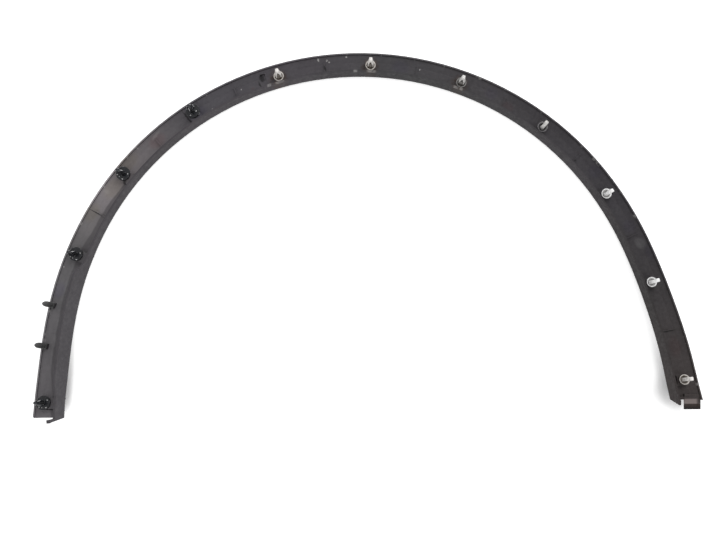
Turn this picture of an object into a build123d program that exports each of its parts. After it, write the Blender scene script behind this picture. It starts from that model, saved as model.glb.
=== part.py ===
"""Wheel arch trim: one moulding with push-in clips, lying face down with its clips up (millimetres)."""
import os
from math import asin, atan, cos, degrees, radians, sqrt, tan

from build123d import *

os.makedirs("parts", exist_ok=True)

# Plan of the arch, measured from the wheel axis
inner_crown_radius = 357.6
outer_crown_radius = 393.4
crown_shift = 7.1  # the outer edge's crown is struck from this far below the wheel axis
right_turn = 23.4  # angle at which the crown passes into the right leg
left_turn = 173.6
inner_right_radius = 616.0
inner_left_radius = 873.0
outer_right_radius = 726.0
outer_left_radius = 1154.0
right_drop = 42.5  # the right leg ends this far below the wheel axis
left_drop = 65.6

# Bow of the legs, which rise off the ground towards their ends
bow_radius = 1450.0
right_bow_start = 210.0  # height above the wheel axis from which a leg curves up
left_bow_start = 150.0
station_count = 25

# Section of the band
face_thickness = 2.5
lip_thickness = 2.5
lip_draft = 5.0
corner_size = 4.0  # wheel-side corner of the face, rounded off in two flats
roll_width = 10.0  # outer strip of the face that turns up to the body
roll_rise = 2.5
rim_height = 4.0
rim_thickness = 1.8
end_corner_radius = 3.0

# Height of the return lip above the face
crown_lip = 16.0
right_lip = 20.5
left_lip = 29.0
notch_lip = 22.0
lip_allowance = 3.0  # the lip is drawn this much too tall, then trimmed
ramp_top = 130.0  # height above the wheel axis at which the left lip starts to grow
ramp_length = 24.0
notch_start = 46.0  # measured from the left end
notch_floor = 25.0
hook_lip = 34.0
hook_length = 2.0
hook_diameter = 4.6
hook_sides = 10
right_lean = 4.3  # how far the top of the lip leans past the end of the face
left_lean = 1.6

# Clip seats and ribs
leg_white = 2  # seats on the right leg, spaced wider than the even row
row_white = 5
row_black = 3
right_clip_distance = 22.7  # along the inner edge from the right end
leg_pitch = 119.3
row_left_end = 195.6
left_clip_distance = 17.0
white_share = 0.38  # place of a seat across the band, inner edge to outer edge
black_share = 0.58
right_clip_share = 0.465
left_clip_share = 0.645
seat_height = 6.5
seat_plate = 1.8
seat_wall = 1.6
seat_reach = 7.0  # plate's edge from the clip axis
seat_clearance = 0.3
rib_thickness = 1.4
rib_height = 1.6
rib_gap = 8.5  # a rib stops this far short of the outer edge
end_rib_height = 3.0
right_rib_distance = 3.0
left_rib_distance = 8.5

# Pegs and tongue
peg_distances = (129.6, 81.7)  # from the left end
peg_share = 0.89
peg_base = 6.8
peg_base_height = 6.5
peg_height = 25.0
peg_diameter = 7.0
peg_neck = 6.0
peg_band = 5.0
peg_nose = 8.0
peg_tip = 2.5
tongue_inset = 1.6  # from the outer edge
tongue_width = 19.5
tongue_length = 11.6
tongue_root = 7.0
tongue_thickness = 2.0
gate_distance = 18.8  # gate recess, along the inner edge from the last white clip
gate_share = 0.65
gate_length = 6.2
gate_width = 8.8
gate_depth = 1.2

# Clips
clip_sides = 24  # flats round a cup, collar or neck
flange_size = 10.0  # square, so that the clip can't turn in its seat
flange_thickness = 1.5
neck_diameter = 5.0

# White clip
cup_foot = 8.0
cup_diameter = 12.5
cup_height = 4.5
cup_wall = 1.1
stem_height = 21.0
stem_thickness = 4.4
stem_root = 7.6
stem_shoulder = 7.2
stem_shoulder_height = 10.0
stem_tip = 3.4
stem_leg = 1.7  # wall between the window and the stem's flank
window_foot = 2.6
window_top = 16.0
front_facing = 3  # clips next to the black ones, whose windows face the wheel

# Black clip
collar_diameter = 17.5
collar_thickness = 2.2
collar_chamfer = 0.8
leg_root = 6.4
leg_shoulder = 9.0
leg_shoulder_height = 11.0
leg_tip = 2.4
leg_height = 21.5
leg_sides = 8
leg_slot = 1.6
leg_slot_foot = 4.0


def rail(crown_radius, crown_y, right_radius, left_radius):
    """One edge of the arch in plan, from the right end to the left: leg, crown and leg as tangent arcs."""
    crown = Vector(0, crown_y)
    right = crown + Vector(1, 0).rotate(Axis.Z, right_turn) * (crown_radius - right_radius)
    left = crown + Vector(1, 0).rotate(Axis.Z, left_turn) * (crown_radius - left_radius)
    right_start = degrees(asin((-right_drop - right.Y) / right_radius))
    left_end = 180 - degrees(asin((-left_drop - left.Y) / left_radius))
    with BuildLine() as edge:
        CenterArc(right, right_radius, right_start, right_turn - right_start)
        CenterArc(crown, crown_radius, right_turn, left_turn - right_turn)
        CenterArc(left, left_radius, left_turn, left_end - left_turn)
    return edge.wire()


inner_edge = rail(inner_crown_radius, 0, inner_right_radius, inner_left_radius)
outer_edge = rail(outer_crown_radius, -crown_shift, outer_right_radius, outer_left_radius)
wheel_axis = Vector(0, left_lean / 2) - outer_edge.bounding_box().center()
inner_edge = inner_edge.moved(Location(wheel_axis))
outer_edge = outer_edge.moved(Location(wheel_axis))
arch_length = inner_edge.length
up = Vector(0, 0, 1)
lip_lean = tan(radians(lip_draft))
roll_slope = roll_rise / roll_width


def bow(height, start):
    """Rise of a leg off the ground at a height above the wheel axis."""
    return max(0.0, start - height) ** 2 / (2 * bow_radius)


def across(t):
    """Step from the inner edge to the outer edge at a share of the arch's length."""
    return (outer_edge @ t) - (inner_edge @ t)


def lift(t):
    """Height of the band's underside above the ground."""
    foot = inner_edge @ t
    start = right_bow_start if foot.X > wheel_axis.X else left_bow_start
    return bow(foot.Y - wheel_axis.Y, start)


def section_plane(t):
    """Upright plane across the band: x from the inner edge outwards, y up."""
    return Plane((inner_edge @ t) + up * lift(t), x_dir=across(t), z_dir=across(t).cross(up))


def seat_plane(t, share):
    """Plane on the back of the face, square to the bow: x outwards, z away from the face."""
    step = 1 / arch_length
    slope = (lift(t + step) - lift(t - step)) / 2
    foot = (inner_edge @ t) + across(t) * share + up * (lift(t) + face_thickness)
    return Plane(foot, x_dir=across(t), z_dir=up - (inner_edge % t) * slope)


def face_middle(u, width):
    """Height of the middle of the face's wall at a distance from the inner edge."""
    return face_thickness / 2 + max(0.0, u - (width - roll_width)) * roll_slope


row_start = right_clip_distance + leg_white * leg_pitch
row_pitch = (arch_length - row_left_end - row_start) / (row_white + row_black - 1)
row = [right_clip_distance + i * leg_pitch for i in range(leg_white)]
row += [row_start + i * row_pitch for i in range(row_white + row_black)]
white_seats = [(s / arch_length, white_share) for s in row[: leg_white + row_white]]
white_seats[0] = (right_clip_distance / arch_length, right_clip_share)
black_seats = [(s / arch_length, black_share) for s in row[leg_white + row_white :]]
black_seats += [(1 - left_clip_distance / arch_length, left_clip_share)]
rib_places = [(a + b) / 2 / arch_length for a, b in zip(row, row[1:])]


def band_section(width):
    """Closed section of the band: eased corner, flat face, turned-up edge with its rim, return lip."""
    lip_top = hook_lip + lip_allowance
    corner_middle = corner_size * (1 - sqrt(0.5))
    roll_angle = atan(roll_slope)
    bend = width - roll_width - face_thickness * tan(roll_angle / 2)
    rim_foot = (roll_width - rim_thickness) * roll_slope + face_thickness / cos(roll_angle)
    Polyline(
        (corner_size * lip_lean, corner_size),
        (corner_middle, corner_middle),
        (corner_size, 0),
        (width - roll_width, 0),
        (width, roll_rise),
        (width, roll_rise + rim_height),
        (width - rim_thickness, roll_rise + rim_height),
        (width - rim_thickness, rim_foot),
        (bend, face_thickness),
        (lip_thickness + face_thickness * lip_lean, face_thickness),
        (lip_thickness + lip_top * lip_lean, lip_top),
        (lip_top * lip_lean, lip_top),
        close=True,
    )


def cross_rib(t, height, thickness):
    """Low rib across the back of the face, from the lip towards the outer edge."""
    width = across(t).length
    with BuildSketch(section_plane(t)) as rib:
        with Locations((lip_thickness / 2, face_thickness / 2)):
            Rectangle(width - rib_gap - lip_thickness / 2, height + face_thickness / 2, align=Align.MIN)
    extrude(rib.sketch, amount=thickness / 2, both=True)


def clip_seat(t, share, pocket):
    """Doghouse: two walls from the lip and a slotted plate, open outwards and at the lip with a pocket."""
    channel = flange_size + 2 * seat_clearance
    slot = neck_diameter + 2 * seat_clearance
    wall_start = lip_thickness / 2 - across(t).length * share
    plate_start = -seat_reach if pocket else wall_start
    foot = -face_thickness / 2
    corner = (Align.MIN, Align.CENTER, Align.MIN)
    with Locations(seat_plane(t, share)):
        for side in (-1, 1):
            with Locations((wall_start, side * (channel + seat_wall) / 2, foot)):
                Box(seat_reach - wall_start, seat_wall, seat_height - foot, align=corner)
        with Locations((plate_start, 0, seat_height - seat_plate)):
            Box(seat_reach - plate_start, channel + seat_wall, seat_plate, align=corner)
        with Locations((-slot / 2, 0, seat_height - seat_plate)):
            Box(seat_reach + slot / 2, slot, seat_plate, align=corner, mode=Mode.SUBTRACT)


def lip_end(t, past, height, lean):
    """Wedge that carries the lip's end past the end of the face, the further the higher."""
    side = across(t).normalized()
    foot = section_plane(t).origin + side * lip_thickness / 2
    with BuildSketch(Plane(foot, x_dir=past, z_dir=past.cross(up + side * lip_lean))) as wedge:
        with BuildLine():
            Polyline((0, corner_size), (lean, height), (0, height), close=True)
        make_face()
    extrude(wedge.sketch, amount=lip_thickness / 2, both=True)


def peg(distance):
    """Bullet-nosed locating peg on a block that stands on the turned-up edge."""
    t = 1 - distance / arch_length
    width = across(t).length
    inner = width * peg_share - peg_base / 2
    outer = width - rim_thickness / 2
    with BuildSketch(section_plane(t)) as base:
        with BuildLine():
            Polyline(
                (inner, face_middle(inner, width)),
                (outer, face_middle(outer, width)),
                (outer, face_thickness + peg_base_height),
                (inner, face_thickness + peg_base_height),
                close=True,
            )
        make_face()
    extrude(base.sketch, amount=peg_base / 2, both=True)
    seat = seat_plane(t, peg_share)
    with BuildSketch(Plane(seat.origin, x_dir=seat.x_dir, z_dir=-seat.y_dir)) as bullet:
        with BuildLine():
            shoulder = peg_height - peg_nose
            Polyline(
                (0, peg_base_height / 2),
                (peg_neck / 2, peg_base_height / 2),
                (peg_neck / 2, shoulder - peg_band - (peg_diameter - peg_neck)),
                (peg_diameter / 2, shoulder - peg_band),
                (peg_diameter / 2, shoulder),
            )
            TangentArc((peg_diameter / 2, shoulder), (peg_tip / 2, peg_height), tangent=(0, 1))
            Polyline((peg_tip / 2, peg_height), (0, peg_height), (0, peg_base_height / 2))
        make_face()
    revolve(bullet.sketch, axis=Axis(seat.origin, seat.z_dir))


# Fittings moulded on the back of the band
with BuildPart() as fittings:
    for place in rib_places:
        cross_rib(place, rib_height, rib_thickness)
    cross_rib(right_rib_distance / arch_length, end_rib_height, rib_thickness)
    cross_rib(1 - left_rib_distance / arch_length, end_rib_height, rib_thickness)
    for place, share in white_seats + black_seats:
        clip_seat(place, share, pocket=place == white_seats[0][0])
    for distance in peg_distances:
        peg(distance)
    # Tongue past the right end
    tongue_middle = across(0).length - tongue_inset - tongue_width / 2
    with BuildSketch(section_plane(0).offset(-tongue_root)):
        with Locations((tongue_middle, face_thickness + tongue_thickness / 4)):
            Rectangle(tongue_width, tongue_thickness)
    extrude(amount=tongue_root + tongue_length)
    # Ends of the lip, the left one with a hook bead on top
    lip_end(0, section_plane(0).z_dir, right_lip, right_lean)
    lip_end(1, -section_plane(1).z_dir, hook_lip, left_lean)
    with BuildSketch(section_plane(1).offset(-left_lean)):
        bead_height = hook_lip - hook_diameter / 2
        with Locations((bead_height * lip_lean + lip_thickness / 2, bead_height)):
            RegularPolygon(hook_diameter / 2, hook_sides)
    extrude(amount=hook_length + left_lean)

# Moulding
with BuildPart() as arch_moulding:
    # Band with its lip, drawn through sections along the arch
    for i in range(station_count):
        t = i / (station_count - 1)
        with BuildSketch(section_plane(t)):
            with BuildLine():
                band_section(across(t).length)
            make_face()
    loft()
    # Top of the lip, trimmed in side view on each half
    side_view = Plane(wheel_axis, x_dir=(0, 1, 0), z_dir=(1, 0, 0))
    crown_top = outer_crown_radius
    beyond = 2 * outer_crown_radius
    with BuildSketch(side_view):
        with BuildLine():
            right_end = (-right_drop, right_lip + bow(-right_drop, right_bow_start))
            Line((crown_top, crown_lip), (right_bow_start, crown_lip))
            TangentArc((right_bow_start, crown_lip), right_end, tangent=(-1, 0))
            Polyline(
                right_end,
                (-crown_top, right_end[1]),
                (-crown_top, beyond),
                (crown_top, beyond),
                (crown_top, crown_lip),
            )
        make_face()
    extrude(amount=beyond, mode=Mode.SUBTRACT)
    with BuildSketch(side_view):
        with BuildLine():
            ramp_foot = ramp_top - ramp_length
            notch_top = notch_start - left_drop
            notch_foot = notch_floor - left_drop
            hook_foot = hook_length - left_drop
            middle = (ramp_foot + notch_top) / 2
            trim = {y: bow(y, left_bow_start) for y in (ramp_foot, middle, notch_top, notch_foot, hook_foot)}
            end_rise = hook_lip + bow(-left_drop, left_bow_start)
            Line((crown_top, crown_lip), (ramp_top, crown_lip))
            Spline(
                (ramp_top, crown_lip),
                (ramp_foot, left_lip + trim[ramp_foot]),
                tangents=((-1, 0), (-1, 0)),
            )
            ThreePointArc(
                (ramp_foot, left_lip + trim[ramp_foot]),
                (middle, left_lip + trim[middle]),
                (notch_top, left_lip + trim[notch_top]),
            )
            Polyline(
                (notch_top, left_lip + trim[notch_top]),
                (notch_foot, notch_lip + trim[notch_foot]),
                (hook_foot, notch_lip + trim[hook_foot]),
                (hook_foot, end_rise),
                (-crown_top, end_rise),
                (-crown_top, beyond),
                (crown_top, beyond),
                (crown_top, crown_lip),
            )
        make_face()
    extrude(amount=-beyond, mode=Mode.SUBTRACT)
    # Rounded outer corner of the left end
    with BuildSketch(Plane(outer_edge @ 1, x_dir=-across(1), z_dir=up)):
        Rectangle(end_corner_radius, end_corner_radius, align=Align.MIN)
        with Locations((end_corner_radius, end_corner_radius)):
            Circle(end_corner_radius, mode=Mode.SUBTRACT)
    extrude(amount=beyond, mode=Mode.SUBTRACT)
    # Recess left by the gate
    with Locations(seat_plane(white_seats[-1][0] + gate_distance / arch_length, gate_share)):
        Box(gate_width, gate_length, 2 * gate_depth, mode=Mode.SUBTRACT)
    # Everything moulded on the back
    add(fittings.part)
arch_moulding.part.label = "arch_moulding"
export_step(arch_moulding.part, "parts/arch_moulding.step")

flange_top = -seat_plate - seat_clearance


def frustum(foot, foot_height, top, top_height, sides, mode=Mode.ADD):
    """Many-sided tapered ring or leg, given by its sizes over corners at two heights."""
    with BuildSketch(Plane.XY.offset(foot_height)) as low:
        RegularPolygon(foot / 2, sides)
    with BuildSketch(Plane.XY.offset(top_height)) as high:
        RegularPolygon(top / 2, sides)
    loft([low.sketch, high.sketch], ruled=True, mode=mode)


def clip_foot():
    """Square flange and neck of a clip, up to the top of the seat's plate."""
    with Locations((0, 0, flange_top - flange_thickness / 2)):
        Box(flange_size, flange_size, flange_thickness)
    frustum(neck_diameter, flange_top, neck_diameter, 0, clip_sides)


# White clip: flange, neck, sealing cup and a flat arrow stem with a window between its two legs
with BuildPart() as white_clip:
    clip_foot()
    frustum(cup_foot, 0, cup_diameter, cup_height, clip_sides)
    hollow = cup_diameter - 2 * cup_wall
    frustum(cup_foot - 2 * cup_wall, cup_wall, hollow, cup_height, clip_sides, Mode.SUBTRACT)
    with BuildSketch(Plane.XZ):
        with BuildLine():
            Polyline(
                (stem_root / 2, cup_wall / 2),
                (stem_shoulder / 2, stem_shoulder_height),
                (stem_tip / 2, stem_height),
                (-stem_tip / 2, stem_height),
                (-stem_shoulder / 2, stem_shoulder_height),
                (-stem_root / 2, cup_wall / 2),
                close=True,
            )
        make_face()
        with BuildLine():
            Polyline(
                (stem_root / 2 - stem_leg, window_foot),
                (stem_shoulder / 2 - stem_leg, stem_shoulder_height),
                (0, window_top),
                (stem_leg - stem_shoulder / 2, stem_shoulder_height),
                (stem_leg - stem_root / 2, window_foot),
                close=True,
            )
        make_face(mode=Mode.SUBTRACT)
    extrude(amount=stem_thickness / 2, both=True)

# Black clip: flange, neck, round collar and a faceted head split into four legs
with BuildPart() as black_clip:
    clip_foot()
    collar_step = collar_thickness - collar_chamfer
    frustum(collar_diameter, 0, collar_diameter, collar_step, clip_sides)
    frustum(collar_diameter, collar_step, collar_diameter - 2 * collar_chamfer, collar_thickness, clip_sides)
    frustum(leg_root, collar_thickness / 2, leg_shoulder, leg_shoulder_height, leg_sides)
    frustum(leg_shoulder, leg_shoulder_height, leg_tip, leg_height, leg_sides)
    slot_top = (leg_shoulder_height + leg_height) / 2
    with Locations((0, 0, (leg_slot_foot + slot_top) / 2)):
        Box(leg_shoulder, leg_slot, slot_top - leg_slot_foot, mode=Mode.SUBTRACT)
        Box(leg_slot, leg_shoulder, slot_top - leg_slot_foot, mode=Mode.SUBTRACT)

# The clips on their seats
white_planes = [seat_plane(t, share).offset(seat_height) for t, share in white_seats]
white_planes[-front_facing:] = [plane.rotated((0, 0, 90)) for plane in white_planes[-front_facing:]]
with BuildPart() as white_clips:
    with Locations(*[plane.location for plane in white_planes]):
        add(white_clip.part)
white_clips.part.label = "white_clips"
export_step(white_clips.part, "parts/white_clips.step")

with BuildPart() as black_clips:
    with Locations(*[seat_plane(t, share).offset(seat_height).location for t, share in black_seats]):
        add(black_clip.part)
black_clips.part.label = "black_clips"
export_step(black_clips.part, "parts/black_clips.step")
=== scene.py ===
"""Wheel arch trim lying face down on a white table, seen from straight above (Blender 4.5, metres)."""
from math import atan2, cos, pi, radians, sin

import bmesh
import bpy
import numpy as np
from mathutils import Matrix, Vector


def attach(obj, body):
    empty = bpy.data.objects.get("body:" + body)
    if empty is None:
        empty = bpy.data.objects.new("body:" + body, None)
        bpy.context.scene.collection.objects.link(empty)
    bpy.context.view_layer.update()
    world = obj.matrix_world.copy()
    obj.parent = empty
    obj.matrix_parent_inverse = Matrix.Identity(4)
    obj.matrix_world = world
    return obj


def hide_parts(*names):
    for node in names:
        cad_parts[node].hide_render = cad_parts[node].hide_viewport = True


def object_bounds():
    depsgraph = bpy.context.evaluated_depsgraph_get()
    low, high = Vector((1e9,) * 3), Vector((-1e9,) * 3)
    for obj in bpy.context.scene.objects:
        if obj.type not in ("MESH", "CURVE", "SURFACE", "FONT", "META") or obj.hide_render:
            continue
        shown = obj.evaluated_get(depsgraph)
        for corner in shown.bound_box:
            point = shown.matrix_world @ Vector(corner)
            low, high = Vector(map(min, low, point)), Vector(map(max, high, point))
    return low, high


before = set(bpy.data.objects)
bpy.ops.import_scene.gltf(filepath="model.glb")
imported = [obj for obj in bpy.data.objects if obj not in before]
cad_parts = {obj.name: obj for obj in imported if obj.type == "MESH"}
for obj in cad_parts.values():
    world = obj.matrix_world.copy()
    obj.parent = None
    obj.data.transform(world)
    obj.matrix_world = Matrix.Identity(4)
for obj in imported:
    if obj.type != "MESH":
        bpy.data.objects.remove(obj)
cad_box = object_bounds()
mm = 0.001

# Photograph: image size, projection centre and focal length in pixels, and its screen levels
image_width, image_height = 722, 542
projection_x, projection_y = 362.0, 322.0
focal = 580.0
screen_white, screen_gamma = 255, 2.2

# Camera: its height above the table, its place from the wheel axis, and its sensor in millimetres
camera_height = 0.728
camera_offset = Vector((2.8, 51.6, 0)) * mm
sensor_width = 36.0

# Plan of the arch, from the wheel axis
wheel_axis = Vector((-8.22, -159.55, 0)) * mm
crown_y = -7.1 * mm
right_turn, left_turn = radians(23.4), radians(173.6)
right_drop, left_drop = 42.5 * mm, 65.6 * mm
inner_radii = (357.6 * mm, 616.0 * mm, 873.0 * mm)  # crown, right leg, left leg
outer_radii = (393.4 * mm, 726.0 * mm, 1154.0 * mm)
bow_radius = 1450 * mm
right_bow_start, left_bow_start = 210 * mm, 150 * mm  # height above the wheel axis from which a leg rises
band_reach = 80 * mm  # a point of the trim is nearer than this to the middle of its own stretch
rail_points = 900
right_side = (0.1, 0.2)  # looks of the right leg alone fade in from here to here along x

# Clips, as the solids have them
plate_top = 3.6 * mm  # top of the seat's plate above the underside of a clip's flange
clip_spacing = 40 * mm  # faces nearer to each other than this belong to one clip
flange_size, flange_thickness = 10.0 * mm, 1.5 * mm
neck_diameter, neck_top = 5.0 * mm, 0.5 * mm
round_steps = 48

# Light and floor
floor_size = 6.0
floor_white = 0.96
floor_lift = 0.56  # what the camera sees of the floor beyond its lit colour
shade_span = (-0.11, -0.2)  # the lift fades out in the shade of the legs, from here to here along y
shade_reach = 80 * mm
shade_open = (0.66, 0.42)  # open share of the view up from the floor, where the fading starts and ends
shade_samples = 16
end_span = (-0.165, -0.21)  # at the right end, which stands highest, less of the view counts as open
end_loss = 0.24
sky_strength = 0.82


def grey(level, warm=0.0, magenta=0.0):
    """Linear colour of a grey given as an 8-bit screen level, with slight tints."""
    channels = (level * (1 + warm), level * (1 - magenta), level * (1 - warm))
    return tuple((max(c, 0) / screen_white) ** screen_gamma for c in channels) + (1,)


def even(value):
    """Colour with one linear value in all its channels."""
    return (value, value, value, 1)


class Nodes:
    """Short words for building a node tree."""

    def __init__(self, owner):
        owner.use_nodes = True
        self.tree = owner.node_tree
        self.tree.nodes.clear()

    def add(self, kind, inputs=None, **settings):
        node = self.tree.nodes.new(kind)
        for key, value in settings.items():
            setattr(node, key, value)
        for key, value in (inputs or {}).items():
            self.put(node.inputs[key], value)
        return node

    def put(self, socket, value):
        if isinstance(value, bpy.types.NodeSocket):
            self.tree.links.new(value, socket)
        else:
            socket.default_value = value

    def math(self, operation, *values):
        node = self.add("ShaderNodeMath", operation=operation)
        for socket, value in zip(node.inputs, values):
            self.put(socket, value)
        return node.outputs[0]

    def product(self, first, *others):
        for other in others:
            first = self.math("MULTIPLY", first, other)
        return first

    def largest(self, first, *others):
        for other in others:
            first = self.math("MAXIMUM", first, other)
        return first

    def vector(self, operation, *values):
        node = self.add("ShaderNodeVectorMath", operation=operation)
        for socket, value in zip(node.inputs, values):
            self.put(socket, value)
        return node.outputs["Value" if operation in ("DOT_PRODUCT", "LENGTH") else "Vector"]

    def step(self, value, low, high):
        """Smooth step from 0 at low to 1 at high; it falls where low is above high."""
        ends = (low, high, 0.0, 1.0) if low < high else (high, low, 1.0, 0.0)
        node = self.add("ShaderNodeMapRange", interpolation_type="SMOOTHSTEP")
        for name, number in zip(("From Min", "From Max", "To Min", "To Max"), ends):
            node.inputs[name].default_value = number
        self.put(node.inputs["Value"], value)
        return node.outputs["Result"]

    def noise(self, vector, scale, detail, roughness, seed=0.0):
        """Noise from 0 to 1; the seed moves it off so that two noises don't lie on each other."""
        moved = self.vector("ADD", vector, (seed, seed * 0.37, seed * 0.71))
        inputs = {"Vector": moved, "Scale": scale, "Detail": detail, "Roughness": roughness}
        return self.add("ShaderNodeTexNoise", inputs).outputs["Fac"]

    def ramp(self, value, *stops):
        node = self.add("ShaderNodeValToRGB", {"Fac": value})
        elements = node.color_ramp.elements
        while len(elements) < len(stops):
            elements.new(0.5)
        for element, (place, colour) in zip(elements, stops):
            element.position = place
            element.color = colour
        return node.outputs["Color"]

    def mix(self, share, first, second, blend="MIX"):
        node = self.add("ShaderNodeMix", data_type="RGBA", blend_type=blend)
        first_socket, second_socket = [s for s in node.inputs if s.type == "RGBA"]
        self.put(node.inputs["Factor"], share)
        self.put(first_socket, first)
        self.put(second_socket, second)
        return next(s for s in node.outputs if s.type == "RGBA")

    def cover(self, colour, mask, strength, paint, blend="MIX"):
        """Colour with a paint laid over it where the mask says, as thick as the strength says."""
        return self.mix(self.product(mask, strength), colour, paint, blend)

    def object_point(self):
        return self.add("ShaderNodeTexCoord").outputs["Object"]

    def flat(self, point):
        return self.vector("MULTIPLY", point, (1, 1, 0))

    def parts(self, point):
        """The x, y and z of a point."""
        return self.add("ShaderNodeSeparateXYZ", {"Vector": point}).outputs

    def attribute(self, name):
        return self.add("ShaderNodeAttribute", attribute_name=name).outputs["Fac"]

    def bump(self, height, distance, strength):
        inputs = {"Height": height, "Distance": distance, "Strength": strength}
        return self.add("ShaderNodeBump", inputs).outputs["Normal"]

    def surface(self, **inputs):
        names = {key.replace("_", " "): value for key, value in inputs.items()}
        shader = self.add("ShaderNodeBsdfPrincipled", names)
        self.add("ShaderNodeOutputMaterial", {"Surface": shader.outputs["BSDF"]})


def link(name, data):
    """New object in the scene."""
    piece = bpy.data.objects.new(name, data)
    bpy.context.collection.objects.link(piece)
    return piece


def rail(radii, middle_y):
    """One edge of the arch in plan as evenly spaced points, right end to left end."""
    crown_radius, right_radius, left_radius = radii
    crown = np.array((0.0, middle_y))
    right = crown + np.array((cos(right_turn), sin(right_turn))) * (crown_radius - right_radius)
    left = crown + np.array((cos(left_turn), sin(left_turn))) * (crown_radius - left_radius)
    start = np.arcsin((-right_drop - right[1]) / right_radius)
    end = pi - np.arcsin((-left_drop - left[1]) / left_radius)
    spans = ((right, right_radius, start, right_turn),
             (crown, crown_radius, right_turn, left_turn),
             (left, left_radius, left_turn, end))
    arcs = []
    for centre, radius, first, last in spans:
        angles = np.linspace(first, last, rail_points)
        arcs.append(centre + radius * np.stack((np.cos(angles), np.sin(angles)), 1))
    line = np.concatenate(arcs)
    steps = np.linalg.norm(np.diff(line, axis=0), axis=1)
    travelled = np.concatenate(((0.0,), np.cumsum(steps)))
    stops = np.linspace(0, travelled[-1], rail_points)
    return np.stack([np.interp(stops, travelled, line[:, k]) for k in (0, 1)], 1) + np.array(wheel_axis.xy)


inner_edge = rail(inner_radii, 0.0)
outer_edge = rail(outer_radii, crown_y)


def band_place(points):
    """Share of the band's length from the right end, share across it and height above it, for each point."""
    across = outer_edge - inner_edge
    widths = np.linalg.norm(across, axis=1)
    across = across / widths[:, None]
    tangents = np.stack((-across[:, 1], across[:, 0]), 1)
    middles = (inner_edge + outer_edge) / 2
    along, share, rise = [], [], []
    for point in points:
        offset = point[:2] - middles
        slip = np.abs((offset * tangents).sum(1))
        slip[np.linalg.norm(offset, axis=1) > band_reach] = np.inf
        nearest = int(slip.argmin())
        foot = inner_edge[nearest]
        start = right_bow_start if foot[0] > wheel_axis.x else left_bow_start
        lift = max(0.0, start - (foot[1] - wheel_axis.y)) ** 2 / (2 * bow_radius)
        along.append(nearest / (rail_points - 1))
        share.append(float(((point[:2] - foot) * across[nearest]).sum() / widths[nearest]))
        rise.append(float(point[2] - lift))
    return {"along": along, "share": share, "rise": rise}


def spot(along, share):
    """Point in plan at a share of the band's length and width, and the angle of its outward direction."""
    index = round(along * (rail_points - 1))
    across = outer_edge[index] - inner_edge[index]
    return Vector((*(inner_edge[index] + across * share), 0)), atan2(across[1], across[0])


def marks(net, point, places):
    """Mask of small marks: shares along and across, half length and half width in mm, turn in degrees."""
    soft_edge = (1.2, 0.5)  # in half sizes of the mark
    mask = 0.0
    for along, share, half_length, half_width, turn in places:
        centre, outward = spot(along, share)
        inputs = {"Vector": point, "Location": centre, "Rotation": (0, 0, outward + radians(turn)),
                  "Scale": (half_width * mm, half_length * mm, 1)}
        local = net.add("ShaderNodeMapping", inputs, vector_type="TEXTURE").outputs["Vector"]
        mask = net.largest(mask, net.step(net.vector("LENGTH", local), *soft_edge))
    return mask


class Band:
    """Where a shaded point of the moulding lies, and the noises that its paint layers share."""

    def __init__(self, net):
        self.point = net.object_point()
        self.flat_point = net.flat(self.point)
        self.along, self.share, self.rise = (net.attribute(name) for name in ("along", "share", "rise"))
        self.normal = net.add("ShaderNodeNewGeometry").outputs["Normal"]
        self.cloud = net.noise(self.point, scale=22.0, detail=4.0, roughness=0.6)
        self.fine = net.noise(self.point, scale=260.0, detail=4.0, roughness=0.7, seed=3.1)
        wobble_inputs = {"Vector": self.point, "Scale": 300.0, "Detail": 2.0}
        wobble = net.add("ShaderNodeTexNoise", wobble_inputs).outputs["Color"]
        wobble_size = 2.4 * mm
        wobble = net.vector("SUBTRACT", wobble, (0.5, 0.5, 0.5))
        wobble = net.vector("MULTIPLY", wobble, (wobble_size, wobble_size, 0))
        self.ragged = net.vector("ADD", self.point, wobble)


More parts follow.
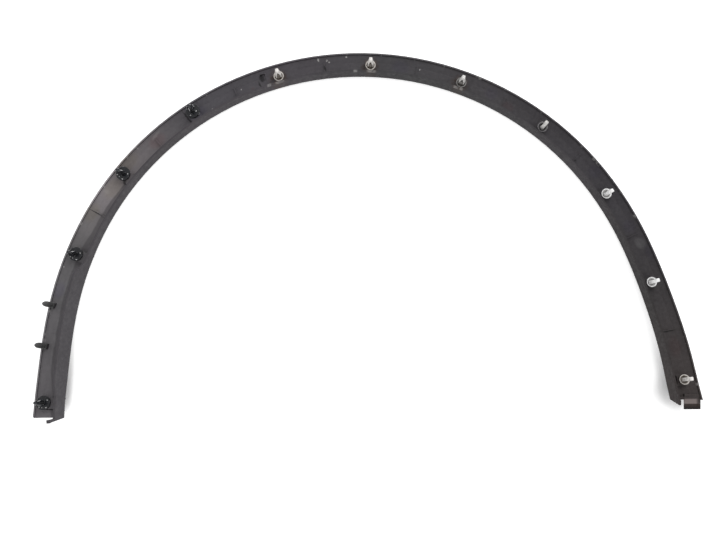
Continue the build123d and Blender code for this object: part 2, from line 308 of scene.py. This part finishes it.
def dust_and_shade(net, band):
    """Dusty tone by stretch of the band, heavy on the left leg and thin on the right; the lip darker with
    painted shade, painted shade and dirt beside it on the left leg, and a darker grey on the pegs' tops.
    """
    back = net.ramp(
        band.along, (0.0, grey(62, 0.055, 0.04)), (0.1, grey(60, 0.015, 0.04)), (0.2, grey(62, -0.01, 0.05)),
        (0.3, grey(64, -0.005, 0.05)), (0.36, grey(70, 0.0, 0.04)), (0.47, grey(76, -0.005, 0.03)),
        (0.54, grey(82, -0.005, 0.05)), (0.66, grey(84, -0.015, 0.04)), (0.72, grey(108, 0.01, 0.03)),
        (0.755, grey(118, 0.015, 0.03)), (0.78, grey(133, 0.01, 0.03)), (0.805, grey(113, 0.01, 0.02)),
        (0.85, grey(109, 0.0, 0.015)), (1.0, grey(112, 0.0, 0.03)))
    # Darker colour of the lip, laid on as painted shade
    lip = net.ramp(
        band.along, (0.0, grey(53, 0.055, 0.05)), (0.1, grey(50, 0.02, 0.03)), (0.25, grey(64, 0.0, 0.045)),
        (0.47, grey(61, -0.005, 0.02)), (0.55, grey(71, -0.005, 0.05)), (0.7, grey(75, 0.0, 0.04)),
        (1.0, grey(75, -0.005, 0.04)))
    # Painted shade: the lip's walls that face the wheel, and its top, take the darker lip colour
    inward = net.vector("NORMALIZE", net.vector("SUBTRACT", wheel_axis, band.flat_point))
    lip_wall_shade = net.step(net.vector("DOT_PRODUCT", band.normal, inward), 0.35, 0.75)
    lip_top = net.product(net.step(band.rise, 12 * mm, 14 * mm), net.step(band.share, 0.32, 0.26))

    # On the left leg painted shade and dirt from the lip reach part of the way across, to an uneven edge
    reach = net.ramp(
        band.along, (0.0, even(0.0)), (0.71, even(0.0)), (0.75, even(0.42)), (0.82, even(0.5)),
        (0.86, even(0.62)), (0.955, even(0.62)), (0.978, even(0.47)))
    past_reach = net.math("SUBTRACT", net.math("ADD", band.share, net.product(band.cloud, 0.16)), reach)
    lip_shade_and_dirt = net.product(net.step(past_reach, 0.1, 0.04), net.step(band.along, 0.7, 0.74), 0.6)
    colour = net.mix(net.largest(lip_wall_shade, lip_top, lip_shade_and_dirt), back, lip)

    peg_place = net.product(net.step(band.share, 0.72, 0.78), net.step(band.along, 0.8, 0.85))
    return net.mix(net.product(net.step(band.rise, 6 * mm, 8 * mm), peg_place), colour, grey(92))


def patches(net, band, colour):
    """Uneven dirt: soft clouds, then faint red, blue and olive patches, then fine grime."""
    colour = net.cover(colour, net.step(band.cloud, 0.62, 0.36), 0.5, grey(226), "MULTIPLY")
    red = ((0.34, 0.43, 9, 7, 0), (0.05, 0.58, 14, 8, 0), (0.706, 0.6, 13, 9, 0), (0.6, 0.33, 3, 4, 0))
    blue = ((0.235, 0.69, 10, 8, 0), (0.172, 0.6, 10, 8, 0), (0.142, 0.88, 12, 6, 0), (0.453, 0.55, 12, 9, 0),
            (0.36, 0.6, 9, 8, 0), (0.66, 0.5, 14, 9, 0), (0.88, 0.8, 12, 6, 0))
    olive = ((0.741, 0.82, 16, 9, 0), (0.77, 0.64, 16, 10, 0), (0.8, 0.8, 14, 8, 0))
    tints = ((red, (1.0, 0.78, 0.78, 1)), (blue, (0.86, 0.84, 1.0, 1)), (olive, (1.0, 0.97, 0.84, 1)))
    for places, tint in tints:
        colour = net.cover(colour, marks(net, band.ragged, places), 0.6, tint, "MULTIPLY")
    return net.cover(colour, net.step(band.fine, 0.3, 0.75), 0.12, grey(190), "MULTIPLY")


def stains_and_shade(net, band, colour):
    """Rust-brown dirt at the clips of the crown, painted shade in dark lines and spots at ribs, clip seats
    and a recess, a paler pad and faint smears.
    """
    brown = ((0.573, 0.36, 13, 14, 0), (0.4815, 0.4, 12, 13, 0), (0.3927, 0.38, 12, 13, 0))
    # Painted shade: dark lines beside ribs and seat walls, and dark spots beside black clips and in a recess
    dark = ((0.588, 0.66, 3.6, 5.2, 0), (0.592, 0.4, 1.2, 5, 10), (0.526, 0.45, 1.2, 4.5, 15),
            (0.256, 0.4, 1.3, 1.6, 0), (0.0653, 0.5, 0.9, 9, 0), (0.6696, 0.57, 1.2, 11, 6),
            (0.756, 0.4, 4, 4, 0), (0.7976, 0.68, 0.9, 10, 6))
    pad = ((0.1535, 0.7, 8, 6.5, 15),)
    smears = ((0.7042, 0.8, 8, 2, 12), (0.7753, 0.78, 2.5, 5, 20))
    speckled = net.product(marks(net, band.ragged, brown), net.step(band.fine, 0.35, 0.6))
    colour = net.cover(colour, speckled, 0.6, grey(66, 0.2, 0.03))
    # The dark marks are painted shade
    colour = net.cover(colour, marks(net, band.ragged, dark), 0.75, grey(34))
    colour = net.cover(colour, marks(net, band.ragged, pad), 0.6, grey(80, 0.0, 0.02))
    return net.cover(colour, marks(net, band.ragged, smears), 0.14, grey(165, 0.01))


def scuffs(net, band, colour):
    """Pale scuffs, the lip's top rubbed pale beside the crown's clips, and a broken line inside the rim."""
    dots = ((0.6107, 0.53, 1, 1, 0), (0.5317, 0.85, 1.3, 2, 20), (0.5235, 0.79, 1.1, 1.7, -20),
            (0.5215, 0.72, 1.4, 1.1, 0), (0.505, 0.88, 1, 1, 0), (0.434, 0.59, 1, 1, 0),
            (0.7253, 0.91, 1, 1, 0), (0.644, 0.33, 1, 1, 0), (0.8576, 0.91, 1, 1, 0))
    rubs = ((0.5715, 0.08, 6, 4, 0), (0.583, 0.08, 3, 4, 0), (0.4805, 0.08, 6, 4, 0),
            (0.4965, 0.08, 2.6, 4, 0), (0.3945, 0.08, 3.6, 4, 0), (0.389, 0.08, 2.4, 4, 0))
    rubbed = net.product(marks(net, band.ragged, rubs), net.step(band.rise, 14 * mm, 15 * mm), 0.45)
    scuffed = net.largest(marks(net, band.ragged, dots), rubbed)
    scuffed = net.product(scuffed, net.step(band.fine, 0.3, 0.55), 0.5)
    breaks = net.noise(band.flat_point, scale=120.0, detail=1.0, roughness=0.5, seed=5.3)
    rim_foot = net.product(net.step(band.share, 0.9, 0.93), net.step(band.share, 0.965, 0.94))
    broken_line = net.product(rim_foot, net.step(breaks, 0.62, 0.72), 0.3)
    return net.mix(net.largest(scuffed, broken_line), colour, grey(205, 0.01))


def right_end(net, band, colour):
    """Pale end of the face on the right leg, and the dark tongue past it."""
    x, y, _ = net.parts(band.point)
    end_x, end_y = outer_edge[0][0], wheel_axis.y - right_drop
    face = net.product(net.step(x, *right_side), net.step(band.share, 0.36, 0.42))
    last_stretch = net.step(y, end_y + 1.8 * mm, end_y + 0.4 * mm)
    pale_end = net.product(face, last_stretch, net.step(x, end_x - 4 * mm, end_x - 8 * mm))
    colour = net.cover(colour, pale_end, 0.6, grey(135, 0.05, 0.03))
    tongue = net.product(face, net.step(y, end_y - 4.2 * mm, end_y - 5.4 * mm))
    colour = net.cover(colour, tongue, 0.95, grey(40, 0.14, 0.06))
    tongue_tip = net.product(tongue, net.step(y, end_y - 6 * mm, end_y - 11 * mm))
    return net.cover(colour, tongue_tip, 0.8, grey(14, 0.14, 0.06))


def edges(net, band, colour):
    """Painted light on the top of the rim, and painted shade in dark lines along both edges of the band."""
    # Painted light: the top of the rim is made paler against its shade
    rim_painted_light = net.product(net.step(band.share, 0.935, 0.95), net.step(band.share, 0.99, 0.98))
    colour = net.mix(rim_painted_light, colour, even(1.45), "MULTIPLY")
    # Painted shade: dark lines along the inner and outer edges
    inner_shade_line = net.product(net.step(band.share, 0.05, 0.03), net.step(band.rise, 5 * mm, 3 * mm))
    outer_shade_line = net.step(band.share, 0.985, 0.995)
    return net.cover(colour, net.largest(outer_shade_line, inner_shade_line), 0.35, grey(34))


def trim_material():
    """Black polypropylene: dusty and marked on the back, with painted shade and light on its lip, ribs, seats
    and edges; clean and grained on the show side.
    """
    material = bpy.data.materials.new("trim")
    net = Nodes(material)
    band = Band(net)
    colour = dust_and_shade(net, band)
    for paint_layer in (patches, stains_and_shade, scuffs, right_end, edges):
        colour = paint_layer(net, band, colour)
    show_side = net.step(net.vector("DOT_PRODUCT", band.normal, (0, 0, -1)), 0.15, 0.5)
    colour = net.mix(show_side, colour, grey(44))
    grain = net.add("ShaderNodeTexVoronoi", {"Vector": band.point, "Scale": 950.0}).outputs["Distance"]
    height = net.math("ADD", net.product(grain, show_side), net.product(band.fine, 0.3))
    rough = net.step(net.math("ADD", band.fine, net.product(show_side, -0.3)), -0.6, 1.1)
    net.surface(Base_Color=colour, Roughness=rough, Specular_IOR_Level=0.3,
                Normal=net.bump(height, distance=0.25 * mm, strength=0.6))
    return material


def nylon_material(name, stem, cup, inside):
    """Natural nylon: its stem, the cup round it, and the painted shade and dirt inside the cup."""
    material = bpy.data.materials.new(name)
    net = Nodes(material)
    point = net.object_point()
    shade_and_grime_blotch = net.noise(point, scale=320.0, detail=3.0, roughness=0.6)
    radius = net.vector("LENGTH", net.flat(point))
    height = net.parts(point)["Z"]
    # Painted shade and dirt fade in from the cup's wall and rim, and the stem's colour above the cup
    wall_fade, rim_fade, stem_fade = (5.3 * mm, 4.7 * mm), (4.4 * mm, 3.4 * mm), (5.0 * mm, 9.0 * mm)
    cup_shade_and_dirt = net.product(net.step(radius, *wall_fade), net.step(height, *rim_fade))
    colour = net.mix(net.step(height, *stem_fade), cup, stem)
    # Blotches of painted shade and grime, in the inside colour
    colour = net.cover(colour, net.step(shade_and_grime_blotch, 0.42, 0.7), 0.45, inside)
    colour = net.cover(colour, cup_shade_and_dirt, 0.85, inside)
    net.surface(Base_Color=colour, Roughness=net.step(shade_and_grime_blotch, -0.4, 2.0),
                Normal=net.bump(shade_and_grime_blotch, distance=0.1 * mm, strength=0.5))
    return material


def black_material():
    """Black nylon, glossy, lightly dusted, and with a few painted glints as pale specks."""
    material = bpy.data.materials.new("black_nylon")
    net = Nodes(material)
    point = net.object_point()
    dusty = net.noise(point, scale=420.0, detail=4.0, roughness=0.65)
    painted_glints = net.noise(point, scale=330.0, detail=1.0, roughness=0.4, seed=2.6)
    colour = net.mix(net.step(dusty, 0.5, 0.75), grey(36, -0.06, 0.03), grey(62, -0.04, 0.03))
    # Painted glints: small pale specks
    colour = net.cover(colour, net.step(painted_glints, 0.68, 0.73), 0.8, grey(205))
    net.surface(Base_Color=colour, Roughness=net.step(dusty, 0.1, 1.5), Specular_IOR_Level=0.35,
                Normal=net.bump(dusty, distance=0.1 * mm, strength=0.4))
    return material


def table_material():
    """White table: lit as any surface, and lifted to white for the camera except in the shade of the legs."""
    material = bpy.data.materials.new("table")
    net = Nodes(material)
    path = net.add("ShaderNodeLightPath")
    seen = net.largest(path.outputs["Is Camera Ray"], path.outputs["Is Glossy Ray"])
    x, y, _ = net.parts(net.object_point())
    occlusion = net.add("ShaderNodeAmbientOcclusion", {"Distance": shade_reach}, samples=shade_samples)
    loss = net.product(net.step(y, *end_span), net.step(x, *right_side), end_loss)
    openness = net.math("SUBTRACT", occlusion.outputs["AO"], loss)
    shade = net.product(net.step(y, *shade_span), net.step(openness, *shade_open))
    lift = net.product(net.math("SUBTRACT", 1.0, shade), floor_lift)
    lit = net.add("ShaderNodeBsdfDiffuse", {"Color": even(floor_white)})
    glow = net.add("ShaderNodeEmission", {"Color": even(floor_white), "Strength": net.product(seen, lift)})
    both = net.add("ShaderNodeAddShader")
    net.put(both.inputs[0], lit.outputs["BSDF"])
    net.put(both.inputs[1], glow.outputs["Emission"])
    net.add("ShaderNodeOutputMaterial", {"Surface": both.outputs["Shader"]})
    return material


def lathe(mesh, outline):
    """Adds a closed round body: the outline gives radius and height, on the axis at both ends."""
    angles = [2 * pi * k / round_steps for k in range(round_steps)]
    rings = []
    for radius, height in outline:
        if radius == 0:
            rings.append([mesh.verts.new((0, 0, height))])
        else:
            rings.append([mesh.verts.new((radius * cos(a), radius * sin(a), height)) for a in angles])
    for low, high in zip(rings, rings[1:]):
        for k in range(round_steps):
            j = k + 1
            corners = [low[k % len(low)], low[j % len(low)], high[j % len(high)], high[k % len(high)]]
            mesh.faces.new(list(dict.fromkeys(corners)))


def block(mesh, size, centre):
    """Adds a box."""
    place = Matrix.Translation(centre) @ Matrix.Diagonal((*size, 1))
    bmesh.ops.create_cube(mesh, size=1.0, matrix=place)


def slab(mesh, loops, depth):
    """Adds a flat body made of joined loops in x and z, given thickness along y."""
    near, far = {}, {}
    for loop in loops:
        for x, z in loop:
            if (x, z) not in near:
                near[x, z] = mesh.verts.new((x, -depth / 2, z))
                far[x, z] = mesh.verts.new((x, depth / 2, z))
    sides = {(a, b) for loop in loops for a, b in zip(loop, loop[1:] + loop[:1])}
    for loop in loops:
        mesh.faces.new([near[p] for p in loop])
        mesh.faces.new([far[p] for p in reversed(loop)])
    for a, b in sorted(sides):
        if (b, a) not in sides:
            mesh.faces.new([near[a], far[a], far[b], near[b]])


def clip_foot(mesh):
    """Adds the square flange under the seat's plate and the neck through its slot."""
    middle = -plate_top + flange_thickness / 2
    block(mesh, (flange_size, flange_size, flange_thickness), (0, 0, middle))
    radius = neck_diameter / 2
    lathe(mesh, ((0, middle), (radius, middle), (radius, neck_top), (0, neck_top)))


def sealing_cup(mesh):
    """Adds the cup of a white clip, with a rounded rim."""
    foot, top, height, wall = 4.0 * mm, 6.25 * mm, 4.5 * mm, 1.1 * mm
    rim = wall / 2
    rim_inset = 0.15 * mm
    rim_angles = (0.6, 1.57, 2.5)
    outline = [(0, 0), (foot, 0), (top - rim_inset, height - rim)]
    outline += [(top - rim + rim * cos(a), height - rim + rim * sin(a)) for a in rim_angles]
    outline += [(foot - wall, wall), (0, wall)]
    lathe(mesh, outline)


def arrow_stem(mesh):
    """Adds the flat stem of a white clip, with a window between its legs and eased edges."""
    root, shoulder, tip, leg = 3.8 * mm, 3.6 * mm, 1.7 * mm, 1.7 * mm
    base, middle, end = 0.6 * mm, 10.0 * mm, 21.0 * mm
    low, high = 2.6 * mm, 16.0 * mm
    depth, ease = 4.4 * mm, 0.75 * mm
    right = [(root - leg, low), (root, base), (shoulder, middle), (shoulder - leg, middle)]
    upper = [(shoulder - leg, middle), (shoulder, middle), (tip, end), (0.0, high)]
    mirrored = [[(-x, z) for x, z in reversed(loop)] for loop in (right, upper)]
    bridge = [(-root, base), (root, base), (root - leg, low), (leg - root, low)]
    nose = [(-tip, end), (0.0, high), (tip, end)]
    stem = bmesh.new()
    slab(stem, [right, upper, *mirrored, bridge, nose], depth)
    bmesh.ops.recalc_face_normals(stem, faces=stem.faces)
    sharp = [edge for edge in stem.edges if edge.calc_face_angle(0) > radians(30)]
    bmesh.ops.bevel(stem, geom=sharp, offset=ease, segments=3, profile=0.5, affect="EDGES",
                    clamp_overlap=True)
    data = bpy.data.meshes.new("stem")
    stem.to_mesh(data)
    stem.free()
    mesh.from_mesh(data)
    bpy.data.meshes.remove(data)


def collar(mesh):
    """Adds the round collar of a black clip, with eased edges."""
    radius, thick = 8.75 * mm, 2.2 * mm
    top_ease, foot_ease = 0.8 * mm, 0.3 * mm
    lathe(mesh, ((0, 0), (radius - foot_ease, 0), (radius, foot_ease), (radius, thick - top_ease),
                 (radius - 0.25 * top_ease, thick - 0.3 * top_ease), (radius - top_ease, thick), (0, thick)))


def sector(radius, slot, start):
    """Quarter of a round leg, cut back by half the slot on both its flat sides."""
    points = [(slot / 2, slot / 2)]
    low = np.arcsin(slot / 2 / radius)
    steps = 6
    for k in range(steps + 1):
        angle = low + (pi / 2 - 2 * low) * k / steps
        points.append((radius * cos(angle), radius * sin(angle)))
    turn = Matrix.Rotation(start, 2)
    return [turn @ Vector(p) for p in points]


def split_head(mesh):
    """Adds the bulging head of a black clip: a round root, four legs and a round tip."""
    root, shoulder, tip = 3.1 * mm, 4.4 * mm, 1.2 * mm
    low, slot_low, middle, slot_high, end = 1.1 * mm, 4.0 * mm, 11.0 * mm, 16.2 * mm, 21.5 * mm
    slot, tip_ease, bulge, overlap = 1.6 * mm, 0.3 * mm, 1.0 * mm, 0.1 * mm

    def girth(height):
        if height < middle:
            return root + (shoulder - root) * (height - low) / (middle - low)
        return shoulder + (tip - shoulder) * (height - middle) / (end - middle)

    lathe(mesh, ((0, low), (root, low), (girth(slot_low), slot_low), (0, slot_low)))
    lathe(mesh, ((0, slot_high), (girth(slot_high), slot_high), (tip, end - tip_ease),
                 (tip - tip_ease, end), (0, end)))
    heights = (slot_low - overlap, middle - bulge, middle, middle + bulge, slot_high + overlap)
    for quarter in range(4):
        rings = []
        for height in heights:
            points = sector(girth(height), slot, quarter * pi / 2)
            rings.append([mesh.verts.new((*p, height)) for p in points])
        mesh.faces.new(list(reversed(rings[0])))
        mesh.faces.new(rings[-1])
        for below, above in zip(rings, rings[1:]):
            for k in range(len(below)):
                j = (k + 1) % len(below)
                mesh.faces.new([below[k], below[j], above[j], above[k]])


def clip_mesh(name, material, *shapes):
    """Mesh of a clip on its foot, with one material and smooth rounds."""
    mesh = bmesh.new()
    for shape in (clip_foot, *shapes):
        shape(mesh)
    bmesh.ops.recalc_face_normals(mesh, faces=mesh.faces)
    data = bpy.data.meshes.new(name)
    mesh.to_mesh(data)
    mesh.free()
    data.materials.append(material)
    data.shade_smooth()
    data.set_sharp_from_angle(angle=radians(32))
    return data


def white_clip(name, stem, cup, inside):
    """Mesh of a white clip in one state of dirt."""
    return clip_mesh(name, nylon_material(name, stem, cup, inside), sealing_cup, arrow_stem)


def clip_groups(mesh):
    """Faces of each clip in the mesh of a node."""
    groups = []
    for polygon in mesh.polygons:
        for group in groups:
            if (group[0].center - polygon.center).length < clip_spacing:
                group.append(polygon)
                break
        else:
            groups.append([polygon])
    return groups


def corner_points(mesh, polygons):
    """Corners of some faces, each once and in a fixed order."""
    corners = {tuple(round(c, 6) for c in mesh.vertices[v].co) for p in polygons for v in p.vertices}
    return [Vector(c) for c in sorted(corners)]


def clip_places(node):
    """Frame of each clip of a node, right to left: at its plate's top, axis up, x along the stem's width."""
    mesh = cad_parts[node].data
    facing_down, large = -0.8, 0.4 * flange_size ** 2
    tip_corners = 4
    places = []
    for group in clip_groups(mesh):
        bottom = [p for p in group if p.normal.z < facing_down and p.area > large]
        axis = -bottom[0].normal
        corners = corner_points(mesh, bottom)
        centre = sum(corners, Vector()) / len(corners)
        highest_first = sorted(corner_points(mesh, group), key=lambda p: -(p - centre).dot(axis))
        tips = highest_first[:tip_corners]
        # A white stem's tip is longer in y than in x, so its diagonal leans to y
        diagonal = max((b - a for a in tips for b in tips), key=lambda line: line.length)
        side = min((c - corners[0] for c in corners[1:]), key=lambda line: line.length).normalized()
        y = max((side, axis.cross(side)), key=lambda line: abs(line.dot(diagonal)))
        x = y.cross(axis)
        place = Matrix((x, y, axis)).transposed().to_4x4()
        place.translation = centre + axis * plate_top
        places.append(place)
    return sorted(places, key=lambda place: -place.translation.x)


def put_clips(node, meshes):
    """Sets one clip at each place of a node, with the meshes in the order of the row."""
    for index, (place, mesh) in enumerate(zip(clip_places(node), meshes, strict=True)):
        piece = link(f"{node[:-1]}_{index + 1}", mesh)
        piece.matrix_world = place
        edge = piece.modifiers.new("edges", "BEVEL")
        edge.width = 0.25 * mm
        edge.segments = 2
        edge.limit_method = "ANGLE"
        edge.angle_limit = radians(40)
        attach(piece, "root")
        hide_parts(node)


def softbox(name, location, size, power):
    """Area light aimed at the origin, the middle of the trim's box in plan."""
    data = bpy.data.lights.new(name, "AREA")
    data.energy = power
    data.size = size
    lamp = link(name, data)
    lamp.location = location
    lamp.rotation_euler = (-Vector(location)).to_track_quat("-Z", "Y").to_euler()


# Moulding: the imported surface, with the place of each point on the band for its colours, dirt and painted
# shade and light
moulding = link("moulding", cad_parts["arch_moulding"].data.copy())
for name, values in band_place(np.array([v.co for v in moulding.data.vertices])).items():
    moulding.data.attributes.new(name, "FLOAT", "POINT").data.foreach_set("value", values)
moulding.data.materials.clear()
moulding.data.materials.append(trim_material())
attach(moulding, "root")
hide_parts("arch_moulding")

# White clips from right to left: one brown inside, two clean, one dull, one dim, two brown inside
# The last colour of each clip is the painted shade inside its cup, with brown dirt in the brown ones
clean = white_clip("nylon", grey(250), grey(248), grey(156, 0.01))
dull = white_clip("dull_nylon", grey(206, 0.01), grey(122, 0.0, 0.02), grey(56, 0.0, 0.02))
dim = white_clip("dim_nylon", grey(222, 0.01), grey(140, 0.01), grey(70, 0.06))
brown = white_clip("brown_nylon", grey(236, 0.015), grey(206, 0.025), grey(66, 0.14))
put_clips("white_clips", [brown, clean, clean, dull, dim, brown, brown])

# Black clips, all four alike
black = clip_mesh("black_clip", black_material(), collar, split_head)
put_clips("black_clips", [black] * 4)

# Floor: a white table that keeps the shade
bpy.ops.mesh.primitive_plane_add(size=floor_size, location=(0, 0, cad_box[0][2]))
floor = bpy.context.object
floor.name = "floor"
floor.data.materials.append(table_material())

# World: even soft light, white to the camera
world = bpy.data.worlds.new("studio")
bpy.context.scene.world = world
net = Nodes(world)
soft = net.add("ShaderNodeBackground", {"Color": even(1), "Strength": sky_strength})
white = net.add("ShaderNodeBackground", {"Color": even(1), "Strength": 1.0})
sky = net.add("ShaderNodeMixShader", {"Fac": net.add("ShaderNodeLightPath").outputs["Is Camera Ray"]})
net.put(sky.inputs[1], soft.outputs["Background"])
net.put(sky.inputs[2], white.outputs["Background"])
net.add("ShaderNodeOutputWorld", {"Surface": sky.outputs["Shader"]})

# Lamps: a large one, and a small low one for glints
softbox("key", location=(0.7, 0.9, 1.5), size=0.9, power=7.0)
softbox("glint", location=(0.4, 1.4, 0.35), size=0.15, power=3.0)

# Camera straight down, framed as the photograph
camera_data = bpy.data.cameras.new("camera")
camera_data.sensor_width = sensor_width
camera_data.lens = focal / image_width * sensor_width
camera_data.shift_x = (image_width / 2 - projection_x) / image_width
camera_data.shift_y = (projection_y - image_height / 2) / image_width
camera = link("camera", camera_data)
camera.location = wheel_axis + camera_offset + Vector((0, 0, camera_height))
bpy.context.scene.camera = camera
bpy.context.scene.view_settings.view_transform = "Standard"
